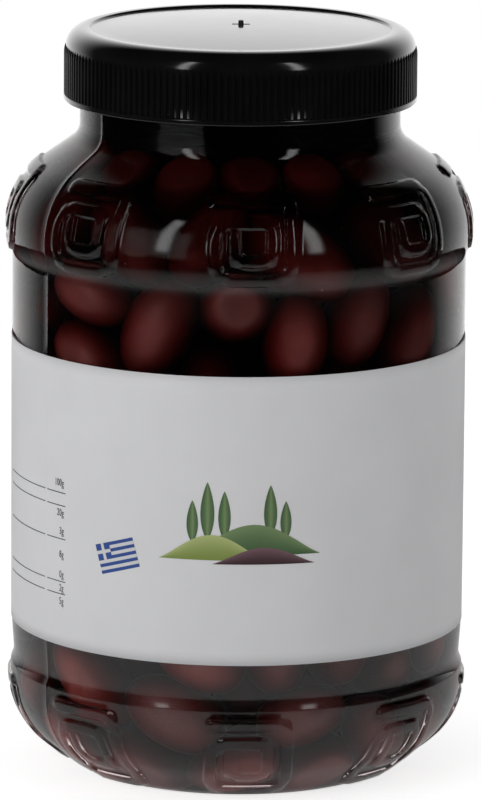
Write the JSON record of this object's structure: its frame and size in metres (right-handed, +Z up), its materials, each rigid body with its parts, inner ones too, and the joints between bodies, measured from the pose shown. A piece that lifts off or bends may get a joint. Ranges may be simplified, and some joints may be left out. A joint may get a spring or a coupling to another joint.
{
  "type": "jar of olives",
  "caption": "Large round clear plastic jar of dark olives in brine, with raised meander panels on shoulder and base, a black ribbed screw lid and a wrap-round paper label.",
  "frame": {"origin": "centre of the jar's foot, on the surface that it stands on", "axes": "+Z up along the jar's axis, -Y towards the front of the label"},
  "size_m": [0.1224, 0.1224, 0.1975],
  "materials": {
    "clear_plastic": "clear gloss PET",
    "lid_plastic": "black, moulded gloss",
    "label_paper": "coated, satin",
    "olive_brine": "dark wine-coloured brine with olives"
  },
  "bodies": {
    "root": {"jar": "clear_plastic", "lid": "lid_plastic", "label": "label_paper", "brine": "olive_brine"}
  },
  "joints": []
}
